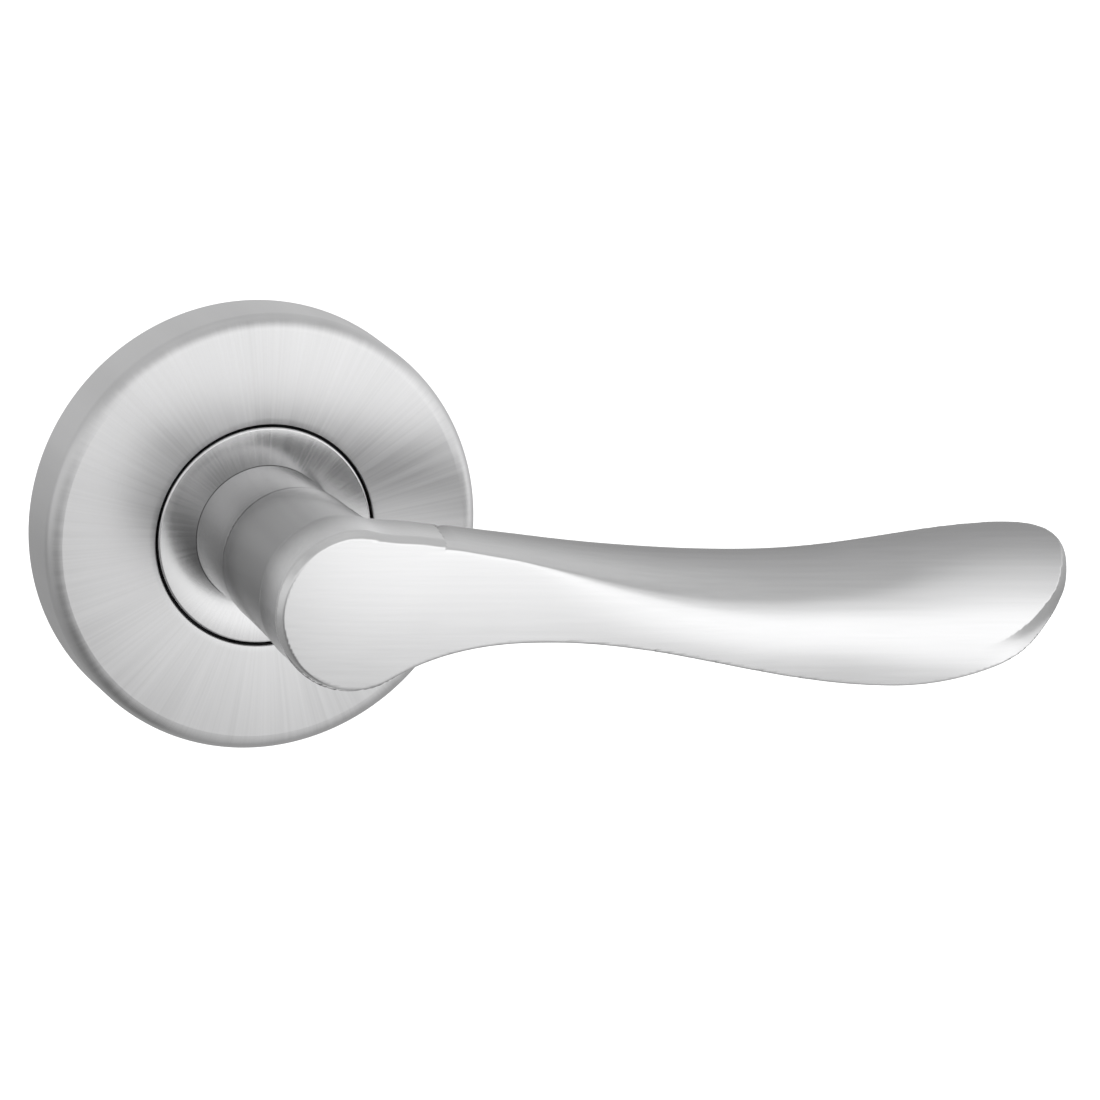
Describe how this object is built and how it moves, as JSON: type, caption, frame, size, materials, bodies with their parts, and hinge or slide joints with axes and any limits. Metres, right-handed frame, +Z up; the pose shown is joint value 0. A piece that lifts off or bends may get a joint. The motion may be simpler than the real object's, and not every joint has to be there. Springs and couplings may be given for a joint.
{
  "type": "door lever handle",
  "caption": "Satin steel door lever with a curved, widening grip on a round sprung rose, with its square spindle.",
  "frame": {"origin": "centre of the rose's back face, on the spindle axis, in the plane of the door face", "axes": "+Y goes into the door, -Y faces the room, +X is the way the lever points, +Z is up"},
  "size_m": [0.1406, 0.102, 0.065],
  "materials": {
    "rose_cover": "satin stainless steel, brushed outward from the centre",
    "centre_disc": "satin stainless steel, brushed outward from the centre",
    "base_plate": "as-cast light metal",
    "fixing_pillars": "zinc-plated steel",
    "bearing_bush": "natural nylon",
    "stop_pins": "plain steel",
    "spring_plate": "zinc-plated sheet",
    "plate_screws": "zinc-plated steel",
    "return_spring": "oiled spring wire",
    "rose_clips": "spring steel strip",
    "lever_handle": "satin stainless steel, finely brushed along its length",
    "neck_collar": "satin turned stainless steel",
    "front_washer": "plain steel washer",
    "rear_washer": "plain brass washer",
    "drive_cam": "blanked plain steel",
    "retaining_ring": "dark spring steel",
    "spindle": "zinc-plated steel",
    "grub_screw": "black oxide steel"
  },
  "bodies": {
    "rose": {"rose_cover": "rose_cover", "centre_disc": "centre_disc", "base_plate": "base_plate", "fixing_pillars": "fixing_pillars", "bearing_bush": "bearing_bush", "stop_pins": "stop_pins", "spring_plate": "spring_plate", "plate_screws": "plate_screws", "return_spring": "return_spring", "rose_clips": "rose_clips"},
    "lever": {"lever_handle": "lever_handle", "neck_collar": "neck_collar", "front_washer": "front_washer", "rear_washer": "rear_washer", "drive_cam": "drive_cam", "retaining_ring": "retaining_ring", "spindle": "spindle", "grub_screw": "grub_screw"}
  },
  "joints": [
    {"name": "lever_turn", "type": "hinge", "parent": "rose", "child": "lever", "pos_m": [0, 0, 0], "axis": [0, 1, 0], "range_deg": [0, 45], "stiffness_Nm_per_rad": 1, "springref_deg": -28.65, "deforming": ["return_spring"]}
  ]
}
